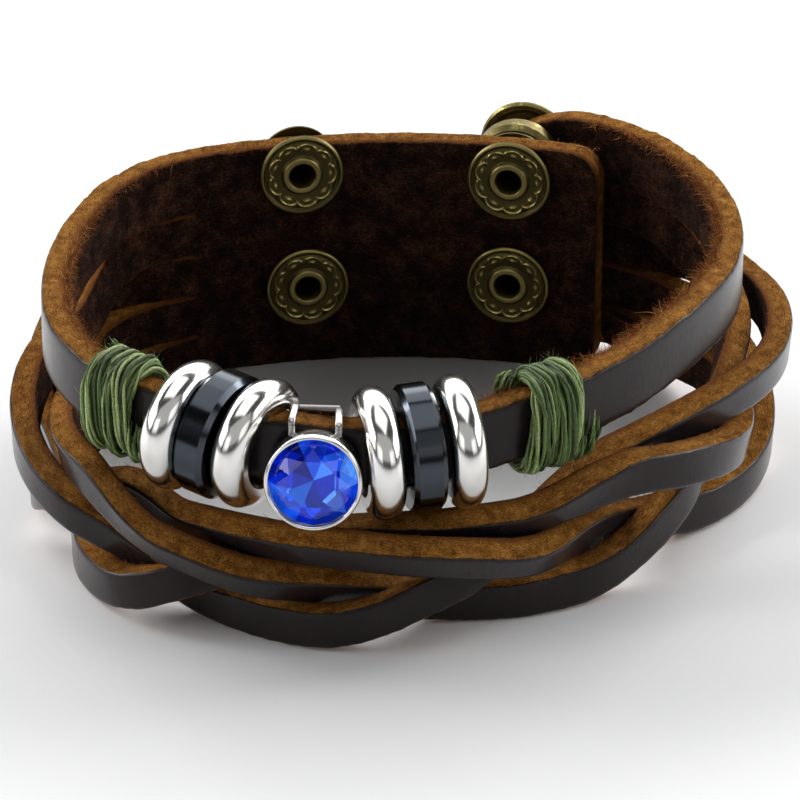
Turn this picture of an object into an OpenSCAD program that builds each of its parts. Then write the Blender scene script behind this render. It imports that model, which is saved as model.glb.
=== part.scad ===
// Leather snap bangle: one slit strip of leather with a four strand braid under a beaded top strand.
// It lies on its side as worn loops do. X runs to the right, Y away from the beads, Z up from the table.

/* [Leather strip] */
// Thickness of the leather
leather_t = 2.7; // [2.5:0.1:2.8]
// Width of the whole strip, which is the bangle's height
strip_w = 25; // [25:0.1:25.4]
// Width of the top strand that carries the beads
top_w = 6.4; // [6:0.1:6.4]
// Width of a braid strand where it leaves the uncut leather
strand_w = 4.5; // [4.3:0.1:4.5]
// Width of a braid strand in the braid, where pulling has narrowed it
braid_w = 4.1; // [3.8:0.05:4.1]
// Width of a braid strand where the beads press on the braid
pressed_w = 3.8; // [3.6:0.05:3.8]
// Cut of the knife between two strands
slit = 0.15; // [0.1:0.05:0.2]

/* [Loop] */
// Radius of the inner tab's arc, at the middle of the leather
back_r = 58; // [57.5:0.5:58.5]
// Distance from the inner tab's middle to the outer tab's middle
tab_gap = 5.8; // [5.8:0.1:6]
// Radius of the right side
side_r = 29; // [28.5:0.5:29.5]
// Radius of the corner that leads to the outer tab
corner_r = 21; // [20.5:0.5:21.5]
// How much higher the outer tab lies than the inner one
outer_lift = 1.2; // [0.8:0.1:1.4]

/* [Snaps] */
// Diameter of the flower rosettes on the inside
rosette_d = 8.7; // [8:0.1:8.8]
// Diameter of the domed caps on the outside
cap_d = 9.5; // [9:0.1:9.6]
// Diameter of the sockets
socket_d = 9; // [8.6:0.1:9.2]
// Diameter of the barrels that pass through the leather
barrel_d = 3.9; // [3.6:0.1:4]
// Clearance of the punched holes and the snap fits, all round
play = 0.1; // [0.08:0.01:0.12]

/* [Beads] */
// Outer diameter of the silver rings
ring_d = 12.8; // [12.4:0.1:12.8]
// Hole of the ring beads
ring_hole = 7.4; // [7.3:0.1:7.5]
// Width of a silver ring along the strand
ring_w = 3.5; // [3.3:0.1:3.5]
// Outer diameter of the dark rings
dark_d = 12.2; // [12:0.1:12.4]
// Width of a dark ring along the strand
dark_w = 3.2; // [2.8:0.1:3.2]
// Outer diameter of the bezel
bezel_d = 9.3; // [9:0.1:9.4]
// Diameter of the stone
stone_d = 8.5; // [8.3:0.1:8.6]
// Width of a cord wrap along the strand
wrap_w = 9; // [8:0.5:9]
// Thickness of the cord bundle in a wrap
wrap_t = 2.1; // [1.8:0.1:2.2]

/* [Hidden] */

$fn = 64;
leather_colour = "#2e1d19";
brass_colour = "#8a7a3c";
silver_colour = "#d8d8d4";
dark_colour = "#2b2f38";
stone_colour = "#1c4bd8";
cord_colour = "#55703c";

// The middle of the finished bangle, measured from the centre of the back arc
middle = [0.87, 29.7];
centre = [-middle[0], -middle[1]];
// Cut edges of the leather are taken off by this much
edge = 0.4;

// The strip's middle line is a chain of arcs. Columns: radius, turn in degrees
RADIUS = 0; TURN = 1;
ARCS = [[back_r, 40],
        [18, 49],
        [51, 28],
        [21, 56],
        [35, 62],
        [49, 27]];
// Heading of the strip at the inner tab's free end. 180 is straight back, 360 straight in front
first_heading = 159;
// Heading at the outer tab's free end
last_heading = 533.4;

// A laid arc holds its centre, radius, first heading, turn and the length of strip before it
CENTRE = 0; R = 1; HEAD = 2; SWEEP = 3; BEFORE = 4;
function outward(h) = [sin(h), -cos(h)];
function heading_of(u) = atan2(u[0], -u[1]);
function arc_length(a) = a[R] * a[SWEEP] * PI / 180;
function last(list) = list[len(list) - 1];
function arc_end(a) = a[HEAD] + a[SWEEP];
function next_arc(a, radius, turn) =
    [a[CENTRE] + (a[R] - radius) * outward(arc_end(a)), radius, arc_end(a), turn, a[BEFORE] + arc_length(a)];
function chain(laid, i) = i == len(ARCS) ? laid
    : chain(concat(laid, [next_arc(last(laid), ARCS[i][RADIUS], ARCS[i][TURN])]), i + 1);
laid_arcs = chain([[centre, back_r, first_heading, ARCS[0][TURN], 0]], 1);

// The right side and the corner close the chain on the outer tab's arc, which shares the inner tab's
// centre so that the snaps line up. The corner's centre is where two circles cross
outer_r = back_r + tab_gap;
side_centre = next_arc(last(laid_arcs), side_r, 0)[CENTRE];
near = side_r - corner_r;
far = outer_r - corner_r;
span = norm(centre - side_centre);
along = (near * near - far * far + span * span) / (2 * span);
across = sqrt(near * near - along * along);
toward = (centre - side_centre) / span;
corner_centre = side_centre + along * toward + across * [-toward[1], toward[0]];
side_end = 360 + heading_of((corner_centre - side_centre) / near);
corner_end = 360 + heading_of((corner_centre - centre) / far);
side_arc = next_arc(last(laid_arcs), side_r, side_end - arc_end(last(laid_arcs)));
corner_arc = next_arc(side_arc, corner_r, corner_end - side_end);
outer_arc = next_arc(corner_arc, outer_r, last_heading - corner_end);
PATH = concat(laid_arcs, [side_arc, corner_arc, outer_arc]);

// Place on the middle line at a distance along it
function arc_at(s, i = 0) = i == len(PATH) - 1 || s < PATH[i + 1][BEFORE] ? i : arc_at(s, i + 1);
function heading_at(s) = let(a = PATH[arc_at(s)]) a[HEAD] + (s - a[BEFORE]) / a[R] * 180 / PI;
function path_at(s) = let(a = PATH[arc_at(s)]) a[CENTRE] + a[R] * outward(heading_at(s));
function spot(s, out, z) = let(p = path_at(s) + out * outward(heading_at(s))) [p[0], p[1], z];

// Blends. Smooth runs from 0 to 1, and knots passes through rows of a table with easy curves
function clamp01(t) = max(0, min(1, t));
function smooth(from, to, x) = let(t = clamp01((x - from) / (to - from))) t * t * (3 - 2 * t);
function row_before(rows, x, i = 0) = i >= len(rows) - 2 || x < rows[i + 1][0] ? i : row_before(rows, x, i + 1);
function knots(rows, x, column) =
    let(i = row_before(rows, x), a = rows[i], b = rows[i + 1])
    a[column] + (b[column] - a[column]) * smooth(a[0], b[0], x);
function hermite(a, b, slope_a, slope_b, t) =
    (2 * pow(t, 3) - 3 * t * t + 1) * a + (pow(t, 3) - 2 * t * t + t) * slope_a
    + (3 * t * t - 2 * pow(t, 3)) * b + (pow(t, 3) - t * t) * slope_b;

// Where the slits begin and end along the strip
slit_start = 43;
slit_end = corner_arc[BEFORE] + 23.6 * corner_r * PI / 180;

// The braid. Each strand swings down and up once a turn, a quarter turn after its neighbour.
// Columns: distance along the strip, turn of the first strand in degrees, turn per millimetre
ALONG = 0; PHASE = 1; RATE = 2;
TURNS = [[slit_start, -22.5, 0.3],
         [71, 0, 4.4],
         [92, 90, 4.5],
         [111, 180, 4.2],
         [136, 270, 3.6],
         [162, 360, 3.9],
         [slit_end, 427.5, 1.0]];
function phase(s) =
    let(i = row_before(TURNS, s), a = TURNS[i], b = TURNS[i + 1], run = b[ALONG] - a[ALONG])
    hermite(a[PHASE], b[PHASE], run * a[RATE], run * b[RATE], (s - a[ALONG]) / run);

// How a strand leans on its neighbours over one turn. The free columns hold where the braid runs free,
// the pressed ones under the beads. Columns for both: height of the middle, distance out, and lean of
// the upper edge in degrees. There is a row for each twelfth of a turn, from the top of the swing
HEIGHT = 0; OUT = 1; LEAN = 2; PRESSED = 3;
SWING = [[14.0,  2.3,  13,   11.0,  2.6,  33],
         [13.3,  3.8,   6,   10.9,  4.1,  33],
         [11.4,  4.4,   2,    9.6,  4.7,  31],
         [ 9.0,  3.1,   9,    7.3,  3.7,  33],
         [ 6.4,  0.3,  14,    5.2,  0.7,  30],
         [ 3.4, -0.8,   0,    2.5, -0.5,  10],
         [ 2.2,  0.9,   0,    2.0,  1.4,   1],
         [ 3.0,  2.6,   4,    2.4,  3.4,  -4],
         [ 6.3,  2.0,  -3,    5.1,  2.6, -14],
         [ 9.5, -0.1,   7,    7.5,  0.1, -10],
         [11.9, -0.6,  18,    9.5, -0.6,   7],
         [13.3,  0.5,  18,   10.3,  0.7,  24]];
function wrapped(i) = SWING[(i + len(SWING)) % len(SWING)];
function swing(p, column) =
    let(turn = p - 360 * floor(p / 360), step = 360 / len(SWING), i = floor(turn / step), t = turn / step - i,
        a = wrapped(i - 1)[column], b = wrapped(i)[column], c = wrapped(i + 1)[column], d = wrapped(i + 2)[column])
    hermite(b, c, (c - a) / 2, (d - b) / 2, t);
function pressed(s) = smooth(95, 104, s) * (1 - smooth(134, 148, s));
function braided(k, s, column) =
    let(p = phase(s) - 90 * k) mix(swing(p, column), swing(p, column + PRESSED), pressed(s));

// Side by side at the slits' ends the strands lie in the order of their heights in the braid
STRANDS = 4;
function lift(s) = outer_lift * smooth(160, slit_end, s);
half_way = 120;
function end_phase(s) = s < half_way ? TURNS[0][PHASE] : last(TURNS)[PHASE];
function end_height(k, s) = cos(end_phase(s) - 90 * k);
function rank(k, s) = len([for (j = [0:STRANDS - 1]) if (end_height(j, s) < end_height(k, s)) 1]);
// Off the table by this much, so that no edge dips below it where a strand begins to lean
rest_play = 0.02;
function side_height(k, s) = rest_play + strand_w / 2 + rank(k, s) * (strand_w + slit);
// How far a strand has left its place beside the others: 0 by the slits' end and 1 in the braid. The
// distances from the slits' left and right ends between which it moves up or down, and bends or leans
MOVES = [[6, 22], [6, 24]];
BENDS = [[0, 14], [0, 16]];
function leaving(s, reach) =
    let(left = s < half_way, r = left ? reach[0] : reach[1])
    smooth(r[0], r[1], left ? s - slit_start : slit_end - s);
function mix(a, b, t) = a + (b - a) * t;
function strand_height(k, s) =
    mix(side_height(k, s), braided(k, s, HEIGHT), leaving(s, MOVES)) + lift(s);
// The whole braid lies nearer the wrist on the left and farther out on the right
function drift(s) =
    smooth(140, 160, s) * (1 - smooth(180, 197, s)) - 0.9 * smooth(50, 66, s) * (1 - smooth(82, 94, s));
function strand_out(k, s) = leaving(s, BENDS) * (braided(k, s, OUT) + drift(s));
function strand_lean(k, s) = leaving(s, BENDS) * braided(k, s, LEAN);
function strand_width(s) = mix(strand_w, mix(braid_w, pressed_w, pressed(s)), leaving(s, MOVES));

// The top strand sags under its beads. Columns: distance along the strip, height of its middle
top_side = strip_w - top_w / 2;
TOP = [[slit_start, top_side],
       [78, top_side],
       [98, 20.8],
       [111, 19.5],
       [124, 18.7],
       [139, 19.8],
       [165, 21.6],
       [slit_end, top_side + outer_lift]];
function top_height(s) = knots(TOP, s, 1);

// A strand is swept through flat sections with their corners taken off
function section(w) =
    let(a = leather_t / 2, b = w / 2)
    [[edge - a, -b], [a - edge, -b], [a, edge - b], [a, b - edge], [a - edge, b], [edge - a, b], [-a, b - edge], [-a, edge - b]];
function ring(s, out, z, lean, w) =
    [for (p = section(w)) spot(s, out + p[0] * cos(lean) + p[1] * sin(lean), z + p[1] * cos(lean) - p[0] * sin(lean))];

// Joins rings of equal size, listed in order, into one closed solid
module loft(rings) {
    n = len(rings[0]);
    m = len(rings);
    sides = [for (i = [0:m - 2], j = [0:n - 1])
        [i * n + j, i * n + (j + 1) % n, (i + 1) * n + (j + 1) % n, (i + 1) * n + j]];
    first = [for (j = [0:n - 1]) n - 1 - j];
    end = [for (j = [0:n - 1]) (m - 1) * n + j];
    polyhedron(points = [for (r = rings) each r], faces = concat([first], sides, [end]), convexity = 8);
}

sweep_step = 2.5;
function stations(from, to, step = sweep_step) =
    let(count = ceil((to - from) / step)) [for (i = [0:count]) from + (to - from) * i / count];

module top_strand() {
    color(leather_colour)
        loft([for (s = stations(slit_start, slit_end)) ring(s, 0, top_height(s), 0, top_w)]);
}

module braid_strand(k) {
    color(leather_colour)
        loft([for (s = stations(slit_start, slit_end))
            ring(s, strand_out(k, s), strand_height(k, s), strand_lean(k, s), strand_width(s))]);
}

// The uncut ends are short lengths of the whole strip
tab_step = 1.2;
path_end = last(PATH)[BEFORE] + arc_length(last(PATH));
module uncut(from, to, rise) {
    loft([for (s = stations(from, to, tab_step)) ring(s, 0, strip_w / 2 + rise, 0, strip_w)]);
}

// What is taken off a tab's free end, at x, to round its two corners. The tab lies on the side given
module corner_cut(x, side, round_r) {
    deep = 12;
    back_y = centre[1] + back_r;
    for (up = [0, 1])
        translate([x - side * round_r, back_y, up * strip_w + (1 - 2 * up) * round_r])
            difference() {
                translate([side > 0 ? 0 : -round_r - 1, -deep, up == 1 ? 0 : -round_r - 1])
                    cube([round_r + 1, 2 * deep, round_r + 1]);
                rotate([90, 0, 0])
                    cylinder(r = round_r, h = 4 * deep, center = true);
            }
}

// Snap places. Columns: angle right of the back's middle, height on the inner tab
ANGLE = 0; LEVEL = 1;
SNAPS = [[11.7, 21.3],
         [11.7, 9.4],
         [-10.2, 21.9],
         [-9.7, 9]];
// Puts children on the snap's axis, at the back arc's centre, with +Z pointing outward
module on_snap(i) {
    translate([centre[0], centre[1], SNAPS[i][LEVEL]])
        rotate([0, 0, -SNAPS[i][ANGLE]])
            rotate([-90, 0, 0])
                children();
}

module snap_holes(which) {
    for (i = which)
        on_snap(i)
            translate([0, 0, back_r - 8])
                cylinder(d = barrel_d + 2 * play, h = tab_gap + 16);
}

inner_round = 3;
outer_round = strip_w / 2;
inner_end_x = centre[0] + back_r * sin(180 - first_heading);
outer_end_x = centre[0] + outer_r * sin(540 - last_heading);

module inner_tab() {
    color(leather_colour)
        difference() {
            uncut(0, slit_start, 0);
            corner_cut(inner_end_x, 1, inner_round);
            snap_holes([0, 1, 2, 3]);
        }
}

module outer_tab() {
    color(leather_colour)
        difference() {
            uncut(slit_end, path_end, outer_lift);
            translate([0, 0, outer_lift])
                corner_cut(outer_end_x, -1, outer_round);
            snap_holes([0, 1]);
        }
}

// Faces of the leather along a snap's axis. A flat disc on a bent tab rests on the chord across it
function chord_drop(r, d) = r - sqrt(r * r - d * d / 4);
seat = 0.03;
inner_face = back_r - leather_t / 2 - chord_drop(back_r - leather_t / 2, rosette_d) - seat;
stud_seat = back_r + leather_t / 2 + seat;
socket_seat = outer_r - leather_t / 2 - chord_drop(outer_r - leather_t / 2, socket_d) - 3 * seat;
cap_seat = outer_r + leather_t / 2 + seat;

plate_t = 0.5;
curl_t = 0.3;
curl_d = barrel_d + 0.6;
eyelet_d = 2.8;
petals = 9;
petal_d = 1.9;
petal_circle = 2.55;
relief = 0.2;

// Rosette with rolled rim, nine petals and a collar, and the barrel that is curled over the stud's plate
module snap_post(i) {
    disc = 0.4;
    rim = 0.35;
    reach = stud_seat + plate_t + curl_t - inner_face;
    color(brass_colour)
        on_snap(i)
            translate([0, 0, inner_face])
                difference() {
                    union() {
                        translate([0, 0, -disc])
                            cylinder(d = rosette_d - 0.3, h = disc);
                        translate([0, 0, -rim])
                            rotate_extrude()
                                translate([rosette_d / 2 - rim, 0])
                                    circle(r = rim, $fn = 24);
                        translate([0, 0, -disc - relief])
                            for (k = [0:petals - 1])
                                rotate([0, 0, k * 360 / petals])
                                    translate([petal_circle, 0, 0])
                                        cylinder(d = petal_d, h = relief, $fn = 24);
                        translate([0, 0, -disc - relief])
                            cylinder(r = petal_circle, h = relief);
                        translate([0, 0, -disc - 2 * relief])
                            cylinder(d = barrel_d, h = reach + disc + 2 * relief);
                        translate([0, 0, reach - curl_t + 0.02])
                            cylinder(d = curl_d, h = curl_t);
                    }
                    translate([0, 0, -2])
                        cylinder(d = eyelet_d, h = reach + 4);
                }
}

// Stud with a flange and a closed hollow knob with a waist
stud_flange_d = 7.9;
knob_d = 5.7;
knob_h = 1.95;
module snap_stud(i) {
    wall = 0.3;
    color(brass_colour)
        on_snap(i)
            translate([0, 0, stud_seat])
                rotate_extrude()
                    polygon([[barrel_d / 2 + play, 0], [stud_flange_d / 2, 0], [stud_flange_d / 2, 0.3],
                             [knob_d / 2, plate_t], [knob_d / 2 - 0.25, 0.9], [knob_d / 2, 1.4], [knob_d / 2 - 0.1, 1.75],
                             [knob_d / 2 - 0.5, knob_h], [0, knob_h], [0, knob_h - wall],
                             [knob_d / 2 - 0.5, knob_h - wall], [knob_d / 2 - 0.5, plate_t], [barrel_d / 2 + play, plate_t]]);
}

// Socket: a ring round the knob, with a base plate under the cap's curled barrel and a notched bevel
module snap_socket(i) {
    depth = socket_seat - stud_seat - plate_t - 0.1;
    mouth = knob_d / 2 + play + 0.05;
    color(brass_colour)
        on_snap(i)
            translate([0, 0, socket_seat])
                rotate([180, 0, 0])
                    difference() {
                        rotate_extrude()
                            polygon([[barrel_d / 2 + play, 0], [socket_d / 2 - 0.3, 0], [socket_d / 2, 0.3],
                                     [socket_d / 2, depth - 0.5], [socket_d / 2 - 0.5, depth], [mouth + 0.7, depth],
                                     [mouth, depth - 0.6], [mouth, 0.8], [mouth + 0.3, plate_t], [barrel_d / 2 + play, plate_t]]);
                        for (k = [0:23])
                            rotate([0, 0, k * 15])
                                translate([mouth + 0.35, 0, depth - 0.25])
                                    rotate([0, 45, 0])
                                        cube([0.35, 0.3, 1], center = true);
                    }
}

// Cap: a hollow dome with a rolled edge, and a barrel curled over the socket's plate
module snap_cap(i) {
    dome_h = 1.9;
    shell = 0.45;
    base = cap_seat - socket_seat;
    color(brass_colour)
        on_snap(i)
            translate([0, 0, cap_seat])
                difference() {
                    union() {
                        rotate_extrude()
                            polygon([[0, shell], [cap_d / 2 - 1.2, shell], [cap_d / 2 - 0.7, 0], [cap_d / 2 - 0.2, 0],
                                     [cap_d / 2, 0.3], [cap_d / 2, 0.6], [cap_d / 2 - 0.4, 1.05], [cap_d / 2 - 1.4, 1.5],
                                     [cap_d / 2 - 2.7, dome_h - 0.1], [cap_d / 2 - 3.8, dome_h], [0, dome_h]]);
                        translate([0, 0, -base - plate_t])
                            cylinder(d = barrel_d, h = base + plate_t + shell + 0.05);
                        translate([0, 0, -base - plate_t - curl_t - 0.02])
                            cylinder(d = curl_d, h = curl_t);
                        translate([0, 0, -base - plate_t - curl_t / 2])
                            cylinder(d = barrel_d, h = curl_t);
                    }
                    translate([0, 0, -base - 2])
                        cylinder(d = eyelet_d, h = base + 2);
                }
}

// Puts children on the top strand, with +X along it, -Y outward and +Z up
module on_strand(s) {
    p = path_at(s);
    translate([p[0], p[1], top_height(s)])
        rotate([0, 0, heading_at(s)])
            children();
}

// Places of the beads along the strip
bezel_place = 116.5;
wrap_places = [97, 139.2];

// Two rings clasp a dark one in each group. A group's beads stand parallel, turned about the upright from
// the strand's own way. Columns: middle of the group, distance between its beads, turn in degrees
SPACING = 1; YAW = 2;
GROUPS = [[107.3, 3.5, -14],
          [126.1, 3.9, 0]];
module on_group(i, bead) {
    s = GROUPS[i][0];
    step = GROUPS[i][SPACING];
    from = spot(s - step, 0, top_height(s - step));
    to = spot(s + step, 0, top_height(s + step));
    way = to - from;
    here = (from + to) / 2 + bead * way / 2;
    translate(here)
        rotate([0, 0, atan2(way[1], way[0]) + GROUPS[i][YAW]])
            rotate([0, 90 - atan2(way[2], norm([way[0], way[1]])), 0])
                children();
}

module silver_ring(i) {
    bevel = 0.3;
    half = ring_w / 2;
    hole = ring_hole / 2;
    round_at = ring_d / 2 - half;
    color(silver_colour)
        on_group(floor(i / 2), i % 2 == 0 ? -1 : 1)
            rotate_extrude()
                union() {
                    polygon([[hole, bevel - half], [hole + bevel, -half], [round_at, -half],
                             [round_at, half], [hole + bevel, half], [hole, half - bevel]]);
                    translate([round_at, 0])
                        intersection() {
                            circle(d = ring_w, $fn = 40);
                            translate([0, -half])
                                square([ring_w, ring_w]);
                        }
                }
}

module dark_ring(i) {
    bevel = 0.45;
    half = dark_w / 2;
    outer = dark_d / 2;
    color(dark_colour)
        on_group(i, 0)
            rotate_extrude()
                    polygon([[ring_hole / 2, -half], [outer - bevel, -half], [outer, bevel - half],
                             [outer, half - bevel], [outer - bevel, half], [ring_hole / 2, half]]);
}

// The bezel is a shallow cup soldered on two narrow loops that the strand runs through
loop_play = 0.2;
loop_t = 0.45;
loop_w = 0.7;
loop_reach = 2.1;
post_d = 1.4;
post_h = 0.9;
// A bar behind the strand joins the loops. It stands this much above and below the strand's upper edge
bar_rise = 0.55;
cup_h = 2.9;
cup_floor = 0.5;
cup_tilt = 12;
cup_drop = 1.4;
cup_stand = leather_t / 2 + loop_play + loop_t + 0.5;
stone_seat = cup_floor + 0.1;
module on_cup() {
    on_strand(bezel_place)
        translate([0, -cup_stand, -cup_drop])
            rotate([90 - cup_tilt, 0, 0])
                children();
}
module strand_block(w, grow) {
    translate([-w / 2, -leather_t / 2 - grow, -top_w / 2 - grow])
        cube([w, leather_t + 2 * grow, top_w + 2 * grow]);
}
module bezel_slider() {
    color(silver_colour)
        union() {
            on_cup()
                difference() {
                    cylinder(d = bezel_d, h = cup_h);
                    translate([0, 0, cup_floor])
                        cylinder(d = stone_d + 0.2, h = cup_h);
                }
            for (side = [-1, 1])
                on_strand(bezel_place + side * loop_reach)
                    difference() {
                        strand_block(loop_w, loop_play + loop_t);
                        strand_block(2 * loop_w, loop_play);
                    }
            for (side = [-1, 1])
                on_strand(bezel_place)
                    translate([side * loop_reach, -leather_t / 2 - loop_play - loop_t / 2, -cup_drop])
                        rotate([90, 0, 0])
                            cylinder(d = post_d, h = post_h);
            on_strand(bezel_place)
                translate([-loop_reach, leather_t / 2 + loop_play, top_w / 2 - bar_rise])
                    cube([2 * loop_reach, loop_t, 2 * bar_rise]);
        }
}

// Round brilliant: a table, a crown of kites and girdle facets, and a pavilion cut off flat.
// Columns: height, radius as a share of the girdle's, corners, and share of a facet it is turned by
facets = 8;
keel_h = 1.1;
crown_h = 1.3;
girdle_h = 0.25;
LEVELS = [[0, 0.45, facets, 0.5],
          [keel_h, 1, 2 * facets, 0],
          [keel_h + girdle_h, 1, 2 * facets, 0],
          [keel_h + girdle_h + 0.62 * crown_h, 0.8, facets, 0],
          [keel_h + girdle_h + crown_h, 0.56, facets, 0.5]];
module blue_stone() {
    slice = 0.01;
    color(stone_colour)
        on_cup()
            translate([0, 0, stone_seat])
                hull()
                    for (level = LEVELS)
                        translate([0, 0, level[0]])
                            rotate([0, 0, level[3] * 360 / facets])
                                cylinder(d = stone_d * level[1], h = slice, $fn = level[2]);
}

// A wrap is a bundle of cord wound round the strand: ribbed rings round the strand's own section
wrap_turns = 6;
wrap_points = 20;
wrap_gap = 0.12;
function wrap_ring(s, grow) =
    let(a = leather_t / 2 + wrap_gap + 0.95 * grow, b = top_w / 2 + wrap_gap + grow)
    [for (k = [0:wrap_points - 1])
        let(t = 360 * k / wrap_points, c = cos(t), d = sin(t), q = grow > 0 ? 0.85 : 0.3)
        spot(s, a * sign(c) * pow(abs(c), q), top_height(s) + b * sign(d) * pow(abs(d), q))];
module cord_wrap(i) {
    from = wrap_places[i] - wrap_w / 2;
    rib = wrap_w / wrap_turns;
    profile = [[0.02, 0.72], [0.18, 0.9], [0.5, 1], [0.82, 0.9]];
    rows = [for (k = [0:wrap_turns - 1], p = profile)
        let(x = (k + p[0]) / wrap_turns) [from + (k + p[0]) * rib, p[1] * (1 - 0.25 * pow(abs(2 * x - 1), 4))]];
    outer = [for (r = rows) wrap_ring(r[0], wrap_t * r[1])];
    inner = [for (r = rows) wrap_ring(r[0], 0)];
    color(cord_colour)
        tube(outer, inner);
}

// Joins an outer and an inner row of rings into one open sleeve
module tube(outer, inner) {
    n = len(outer[0]);
    m = len(outer);
    inside = m * n;
    walls = [for (i = [0:m - 2], j = [0:n - 1])
        [i * n + j, i * n + (j + 1) % n, (i + 1) * n + (j + 1) % n, (i + 1) * n + j]];
    bore = [for (f = walls) [f[3] + inside, f[2] + inside, f[1] + inside, f[0] + inside]];
    first = [for (j = [0:n - 1]) [j, inside + j, inside + (j + 1) % n, (j + 1) % n]];
    end = [for (j = [0:n - 1]) let(k = (m - 1) * n) [k + j, k + (j + 1) % n, inside + k + (j + 1) % n, inside + k + j]];
    polyhedron(points = concat([for (r = outer) each r], [for (r = inner) each r]),
               faces = concat(walls, bore, first, end), convexity = 8);
}

inner_tab();
outer_tab();
top_strand();
braid_strand(0);  // braid_strand_1
braid_strand(1);  // braid_strand_2
braid_strand(2);  // braid_strand_3
braid_strand(3);  // braid_strand_4
snap_post(0);  // snap_post_1
snap_post(1);  // snap_post_2
snap_post(2);  // snap_post_3
snap_post(3);  // snap_post_4
snap_stud(0);  // snap_stud_1
snap_stud(1);  // snap_stud_2
snap_stud(2);  // snap_stud_3
snap_stud(3);  // snap_stud_4
snap_socket(0);  // snap_socket_1
snap_socket(1);  // snap_socket_2
snap_cap(0);  // snap_cap_1
snap_cap(1);  // snap_cap_2
silver_ring(0);  // silver_ring_1
silver_ring(1);  // silver_ring_2
silver_ring(2);  // silver_ring_3
silver_ring(3);  // silver_ring_4
dark_ring(0);  // dark_ring_1
dark_ring(1);  // dark_ring_2
bezel_slider();
blue_stone();
cord_wrap(0);  // cord_wrap_left
cord_wrap(1);  // cord_wrap_right
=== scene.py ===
"""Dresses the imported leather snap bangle: leather strands, cord, studs, beads, stone and a photo table."""

import math
import random

import bmesh
import bpy
import numpy as np
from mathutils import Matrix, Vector


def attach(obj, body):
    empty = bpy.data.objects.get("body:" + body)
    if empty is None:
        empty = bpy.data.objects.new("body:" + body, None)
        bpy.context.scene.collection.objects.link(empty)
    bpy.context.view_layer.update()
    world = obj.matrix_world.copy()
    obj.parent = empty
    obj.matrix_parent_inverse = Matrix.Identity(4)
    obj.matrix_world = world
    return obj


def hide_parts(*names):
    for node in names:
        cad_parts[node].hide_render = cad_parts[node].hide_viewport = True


bl_info = {
    "name": "Leather Snap Bangle",
    "version": (1, 0, 0),
    "blender": (4, 5, 0),
    "location": "View3D > Sidebar > Bangle",
    "description": "Builds the finished look of a braided leather bangle on its packed frame",
    "category": "Object",
}

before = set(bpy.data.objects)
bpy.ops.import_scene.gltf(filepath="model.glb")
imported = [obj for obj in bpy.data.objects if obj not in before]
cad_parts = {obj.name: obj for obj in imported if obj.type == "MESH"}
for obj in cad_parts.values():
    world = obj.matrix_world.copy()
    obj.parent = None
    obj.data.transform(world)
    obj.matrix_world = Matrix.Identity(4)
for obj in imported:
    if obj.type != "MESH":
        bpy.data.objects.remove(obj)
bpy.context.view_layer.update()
MM = 0.001
BODY = "root"


def number(name, description, default, low, high):
    return bpy.props.FloatProperty(name=name, description=description, default=default, min=low, max=high)


def tint(name, description, default):
    return bpy.props.FloatVectorProperty(name=name, description=description, subtype="COLOR", size=3, default=default)


class BangleSizes(bpy.types.PropertyGroup):
    """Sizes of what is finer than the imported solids, in millimetres where they are lengths."""

    corner: number("Corner", "Rounding of the cut leather's corners", 0.42, 0.1, 0.6)
    ring_step: number("Section step", "Distance between leather sections along the strip", 0.42, 0.25, 2.0)
    waviness: number("Waviness", "How far a cut edge strays from straight", 0.07, 0.0, 0.12)
    fibres: bpy.props.IntProperty(
        name="Loose fibres", description="Loose fibres along the cut edges", default=13500, min=0, max=15000)
    thread_d: number("Thread", "Diameter of one waxed thread", 0.3, 0.2, 0.6)
    bundles: number("Bundle turns", "How often the thread bundle goes round the strand", 2.6, 2.0, 6.0)


class BangleColours(bpy.types.PropertyGroup):
    """Colours of the finishes, all linear."""

    grain: tint("Grain", "Dyed grain side of the leather", (0.0100, 0.0060, 0.0062))
    edge: tint("Cut edge", "Undyed fibres of the cut edges", (0.34, 0.134, 0.021))
    flesh: tint("Flesh side", "Napped inner side of the leather", (0.032, 0.0125, 0.0066))
    brass: tint("Brass", "Antique plating of the studs", (0.30, 0.24, 0.085))
    silver: tint("Silver", "Polished rings and bezel", (0.86, 0.85, 0.82))
    dark: tint("Dark metal", "Blue-black rings", (0.060, 0.068, 0.080))
    stone: tint("Stone", "Middle tone of the foil under the blue stone", (0.006, 0.05, 0.65))
    thread: tint("Thread", "Waxed green thread", (0.110, 0.182, 0.042))


class Term:
    """A value in a finish's node tree. A sum written with it adds the Math nodes."""

    def __init__(self, finish, socket):
        self.finish = finish
        self.socket = socket

    def maths(self, operation, *values):
        return self.finish.node("ShaderNodeMath", {"operation": operation}, dict(enumerate(values)))

    def __add__(self, other):
        return self.maths("ADD", self, other)

    def __sub__(self, other):
        return self.maths("SUBTRACT", self, other)

    def __rsub__(self, other):
        return self.maths("SUBTRACT", other, self)

    def __mul__(self, other):
        return self.maths("MULTIPLY", self, other)

    def __pow__(self, other):
        return self.maths("POWER", self, other)

    __radd__ = __add__
    __rmul__ = __mul__

    def clamped(self):
        return self.finish.node("ShaderNodeClamp", {}, {0: self})

    def rises(self, low, high):
        """0 below low, 1 above high, smooth between."""
        return self.finish.node("ShaderNodeMapRange", {"interpolation_type": "SMOOTHSTEP"}, {0: self, 1: low, 2: high})


FINISHES = {}


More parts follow.
